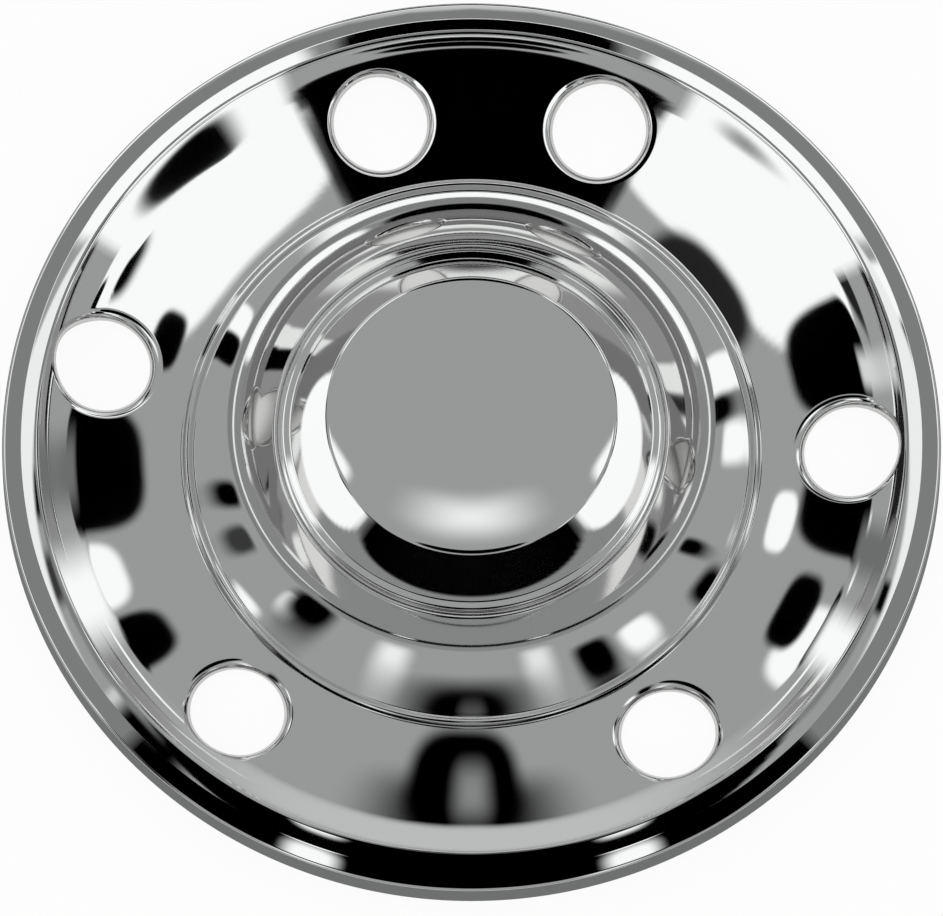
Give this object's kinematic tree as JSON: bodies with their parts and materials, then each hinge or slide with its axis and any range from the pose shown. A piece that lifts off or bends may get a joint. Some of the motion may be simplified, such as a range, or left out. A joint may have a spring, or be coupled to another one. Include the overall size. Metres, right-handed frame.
{
  "type": "truck wheel simulator",
  "caption": "Polished stainless clip-on cover for a truck wheel: rolled rim, dished face with round vents, flared cone and a press-in hub cap.",
  "frame": {"origin": "on the wheel's axis, in the plane of the cover's turned-in back edge", "axes": "+Z along the wheel's axis, out of the cover's face; +X towards the vent that the picture shows at the right; +Y up in the picture"},
  "size_m": [0.53, 0.53, 0.077],
  "materials": {
    "polished_liner": "mirror-polished stainless steel sheet",
    "polished_cap": "mirror-polished stainless steel sheet",
    "spring_steel": "plain spring steel strip"
  },
  "bodies": {
    "root": {"liner": "polished_liner", "hub_cap": "polished_cap", "retaining_clip_1": "spring_steel", "retaining_clip_2": "spring_steel", "retaining_clip_3": "spring_steel", "retaining_clip_4": "spring_steel", "retaining_clip_5": "spring_steel", "retaining_clip_6": "spring_steel"}
  },
  "joints": []
}
